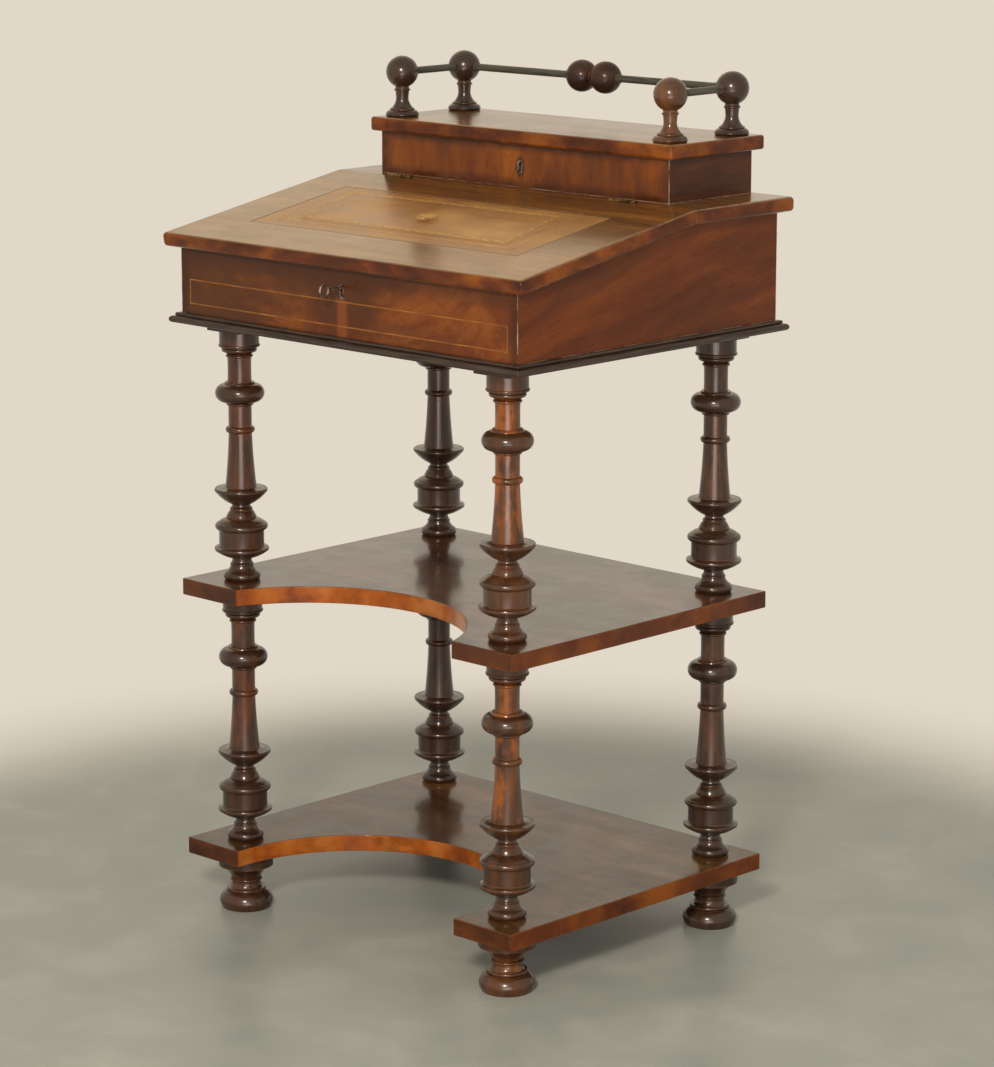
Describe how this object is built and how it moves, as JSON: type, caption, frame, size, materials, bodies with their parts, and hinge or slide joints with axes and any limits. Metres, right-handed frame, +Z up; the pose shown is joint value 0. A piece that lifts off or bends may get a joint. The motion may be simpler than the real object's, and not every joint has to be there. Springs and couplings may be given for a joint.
{
  "type": "davenport desk",
  "caption": "Small Victorian davenport writing desk: sloping hinged lid over a case, stationery box with turned gallery, turned columns, two open shelves with hollowed fronts.",
  "frame": {"origin": "centre of the bounding box at floor level", "axes": "+Z up, -Y towards the sitter, +X to the sitter's right hand"},
  "size_m": [0.58, 0.4803, 1.0104],
  "materials": {
    "walnut_turned": "french polish",
    "walnut_veneer": "french polish",
    "ebonised_wood": "polished",
    "pine": "raw",
    "cedar": "waxed",
    "boxwood": "french polish",
    "leather": "worn",
    "brass": "aged",
    "steel": "aged"
  },
  "bodies": {
    "desk": {"foot_front_left": "walnut_turned", "foot_front_right": "walnut_turned", "foot_back_left": "walnut_turned", "foot_back_right": "walnut_turned", "lower_column_front_left": "walnut_turned", "lower_column_front_right": "walnut_turned", "lower_column_back_left": "walnut_turned", "lower_column_back_right": "walnut_turned", "upper_column_front_left": "walnut_turned", "upper_column_front_right": "walnut_turned", "upper_column_back_left": "walnut_turned", "upper_column_back_right": "walnut_turned", "bottom_shelf": "walnut_veneer", "middle_shelf": "walnut_veneer", "front_panel": "walnut_veneer", "left_side": "walnut_veneer", "right_side": "walnut_veneer", "top_board": "walnut_veneer", "stationery_front": "walnut_veneer", "stationery_left": "walnut_veneer", "stationery_right": "walnut_veneer", "stationery_back": "walnut_veneer", "base_moulding_front": "ebonised_wood", "base_moulding_left": "ebonised_wood", "base_moulding_right": "ebonised_wood", "base_moulding_back": "ebonised_wood", "corner_plates": "ebonised_wood", "base_board": "pine", "back_panel": "pine", "interior_shelf": "cedar", "drawer_dividers": "cedar", "front_stringing": "boxwood", "hinge_leaves_desk": "brass", "hinge_pins": "brass", "screws_desk": "brass", "lock_cases": "steel", "keyhole_escutcheons": "steel"},
    "writing_lid": {"writing_lid_board": "walnut_veneer", "writing_leather": "leather", "hinge_leaves_writing_lid": "brass", "screws_writing_lid": "brass", "front_lock_strike": "steel"},
    "stationery_lid": {"stationery_lid_board": "walnut_veneer", "hinge_leaves_stationery_lid": "brass", "screws_stationery_lid": "brass", "stationery_lock_strike": "steel", "gallery_side_rails": "walnut_turned", "gallery_back_rails": "walnut_turned", "gallery_twin_ball": "walnut_turned", "gallery_post_front_left": "walnut_turned", "gallery_post_front_right": "walnut_turned", "gallery_post_back_left": "walnut_turned", "gallery_post_back_right": "walnut_turned"},
    "key": {"key": "steel"},
    "front_bolt": {"front_lock_bolt": "steel"},
    "stationery_bolt": {"stationery_lock_bolt": "steel"},
    "left_drawer": {"drawer_left": "cedar", "drawer_knob_left": "cedar"},
    "right_drawer": {"drawer_right": "cedar", "drawer_knob_right": "cedar"}
  },
  "joints": [
    {"name": "writing_lid_hinge", "type": "hinge", "parent": "desk", "child": "writing_lid", "pos_m": [0, 0.06545, 0.8702], "axis": [-1, 0, 0], "range_deg": [0, 105]},
    {"name": "stationery_lid_hinge", "type": "hinge", "parent": "desk", "child": "stationery_lid", "pos_m": [0, 0.23245, 0.9199], "axis": [-1, 0, 0], "range_deg": [0, 95]},
    {"name": "key_turn", "type": "hinge", "parent": "desk", "child": "key", "pos_m": [0, -0.19885, 0.78154], "axis": [0, 1, 0], "range_deg": [0, 180]},
    {"name": "front_bolt_slide", "type": "slide", "parent": "desk", "child": "front_bolt", "axis": [0, 0, 1], "range_m": [0, 0.006]},
    {"name": "stationery_bolt_slide", "type": "slide", "parent": "desk", "child": "stationery_bolt", "axis": [0, 0, 1], "range_m": [0, 0.006]},
    {"name": "left_drawer_slide", "type": "slide", "parent": "desk", "child": "left_drawer", "axis": [0, -1, 0], "range_m": [0, 0.1]},
    {"name": "right_drawer_slide", "type": "slide", "parent": "desk", "child": "right_drawer", "axis": [0, -1, 0], "range_m": [0, 0.1]}
  ],
  "couplings": [
    {"joint": "front_bolt_slide", "follows": "key_turn", "m_per_rad": 0.0019}
  ]
}
